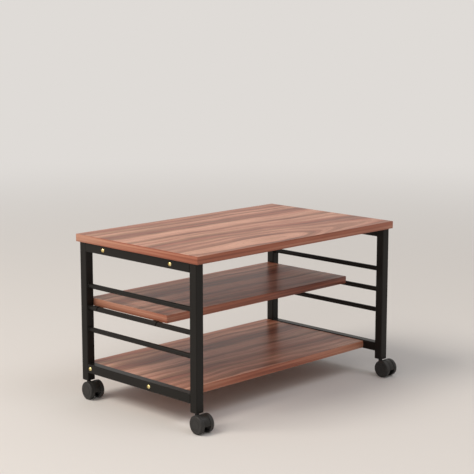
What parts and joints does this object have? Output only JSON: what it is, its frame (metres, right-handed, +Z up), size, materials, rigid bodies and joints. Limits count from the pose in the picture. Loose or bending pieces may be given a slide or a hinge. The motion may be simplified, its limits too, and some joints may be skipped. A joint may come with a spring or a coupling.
{
  "type": "low rolling table",
  "caption": "Low rolling table with three wood-print boards between two black steel tube end frames, on swivelling twin-wheel castors.",
  "frame": {"origin": "centre of the whole object's footprint, castors included, on the floor", "axes": "+X along the table's width to the right end, +Y to the back, +Z up"},
  "size_m": [0.6911, 0.4405, 0.401],
  "materials": {
    "walnut_print": "semi-gloss laminate",
    "walnut_edging": "semi-gloss edge strip",
    "black_powder_coat": "satin",
    "brown_plastic": "moulded",
    "zinc_steel": "zinc plated",
    "brass": "polished",
    "black_plastic": "moulded",
    "wheel_plastic": "moulded"
  },
  "bodies": {
    "table": {"top_board": "walnut_print", "middle_shelf": "walnut_print", "lower_shelf": "walnut_print", "top_board_edging": "walnut_edging", "middle_shelf_edging": "walnut_edging", "lower_shelf_edging": "walnut_edging", "left_front_upright": "black_powder_coat", "left_rear_upright": "black_powder_coat", "left_top_rail": "black_powder_coat", "left_bottom_rail": "black_powder_coat", "left_upper_rod": "black_powder_coat", "left_middle_rod": "black_powder_coat", "left_lower_rod": "black_powder_coat", "right_front_upright": "black_powder_coat", "right_rear_upright": "black_powder_coat", "right_top_rail": "black_powder_coat", "right_bottom_rail": "black_powder_coat", "right_upper_rod": "black_powder_coat", "right_middle_rod": "black_powder_coat", "right_lower_rod": "black_powder_coat", "connector_blocks": "brown_plastic", "connector_block_screws": "zinc_steel", "top_rail_screws": "brass", "bottom_rail_screws": "brass", "shelf_insert_nuts": "zinc_steel", "shelf_clips": "black_powder_coat", "shelf_clip_screws": "zinc_steel", "front_left_socket": "black_plastic", "front_left_stem": "zinc_steel", "front_right_socket": "black_plastic", "front_right_stem": "zinc_steel", "rear_left_socket": "black_plastic", "rear_left_stem": "zinc_steel", "rear_right_socket": "black_plastic", "rear_right_stem": "zinc_steel"},
    "front_left_castor": {"front_left_hood": "black_plastic", "front_left_axle": "zinc_steel"},
    "front_left_outer_wheel_body": {"front_left_outer_wheel": "wheel_plastic"},
    "front_left_inner_wheel_body": {"front_left_inner_wheel": "wheel_plastic"},
    "front_right_castor": {"front_right_hood": "black_plastic", "front_right_axle": "zinc_steel"},
    "front_right_outer_wheel_body": {"front_right_outer_wheel": "wheel_plastic"},
    "front_right_inner_wheel_body": {"front_right_inner_wheel": "wheel_plastic"},
    "rear_left_castor": {"rear_left_hood": "black_plastic", "rear_left_axle": "zinc_steel"},
    "rear_left_outer_wheel_body": {"rear_left_outer_wheel": "wheel_plastic"},
    "rear_left_inner_wheel_body": {"rear_left_inner_wheel": "wheel_plastic"},
    "rear_right_castor": {"rear_right_hood": "black_plastic", "rear_right_axle": "zinc_steel"},
    "rear_right_outer_wheel_body": {"rear_right_outer_wheel": "wheel_plastic"},
    "rear_right_inner_wheel_body": {"rear_right_inner_wheel": "wheel_plastic"}
  },
  "joints": [
    {"name": "front_left_swivel", "type": "hinge", "parent": "table", "child": "front_left_castor", "pos_m": [-0.325, -0.18, 0.0431], "axis": [0, 0, 1], "continuous": true},
    {"name": "front_left_outer_wheel_spin", "type": "hinge", "parent": "front_left_castor", "child": "front_left_outer_wheel_body", "pos_m": [-0.32653, -0.19743, 0.02175], "axis": [0.9962, -0.0872, 0], "continuous": true},
    {"name": "front_left_inner_wheel_spin", "type": "hinge", "parent": "front_left_castor", "child": "front_left_inner_wheel_body", "pos_m": [-0.32653, -0.19743, 0.02175], "axis": [0.9962, -0.0872, 0], "continuous": true},
    {"name": "front_right_swivel", "type": "hinge", "parent": "table", "child": "front_right_castor", "pos_m": [0.325, -0.18, 0.0431], "axis": [0, 0, 1], "continuous": true},
    {"name": "front_right_outer_wheel_spin", "type": "hinge", "parent": "front_right_castor", "child": "front_right_outer_wheel_body", "pos_m": [0.325, -0.1975, 0.02175], "axis": [1, 0, 0], "continuous": true},
    {"name": "front_right_inner_wheel_spin", "type": "hinge", "parent": "front_right_castor", "child": "front_right_inner_wheel_body", "pos_m": [0.325, -0.1975, 0.02175], "axis": [1, 0, 0], "continuous": true},
    {"name": "rear_left_swivel", "type": "hinge", "parent": "table", "child": "rear_left_castor", "pos_m": [-0.325, 0.2, 0.0431], "axis": [0, 0, 1], "continuous": true},
    {"name": "rear_left_outer_wheel_spin", "type": "hinge", "parent": "rear_left_castor", "child": "rear_left_outer_wheel_body", "pos_m": [-0.32653, 0.18257, 0.02175], "axis": [0.9962, -0.0872, 0], "continuous": true},
    {"name": "rear_left_inner_wheel_spin", "type": "hinge", "parent": "rear_left_castor", "child": "rear_left_inner_wheel_body", "pos_m": [-0.32653, 0.18257, 0.02175], "axis": [0.9962, -0.0872, 0], "continuous": true},
    {"name": "rear_right_swivel", "type": "hinge", "parent": "table", "child": "rear_right_castor", "pos_m": [0.325, 0.2, 0.0431], "axis": [0, 0, 1], "continuous": true},
    {"name": "rear_right_outer_wheel_spin", "type": "hinge", "parent": "rear_right_castor", "child": "rear_right_outer_wheel_body", "pos_m": [0.325, 0.1825, 0.02175], "axis": [1, 0, 0], "continuous": true},
    {"name": "rear_right_inner_wheel_spin", "type": "hinge", "parent": "rear_right_castor", "child": "rear_right_inner_wheel_body", "pos_m": [0.325, 0.1825, 0.02175], "axis": [1, 0, 0], "continuous": true}
  ]
}
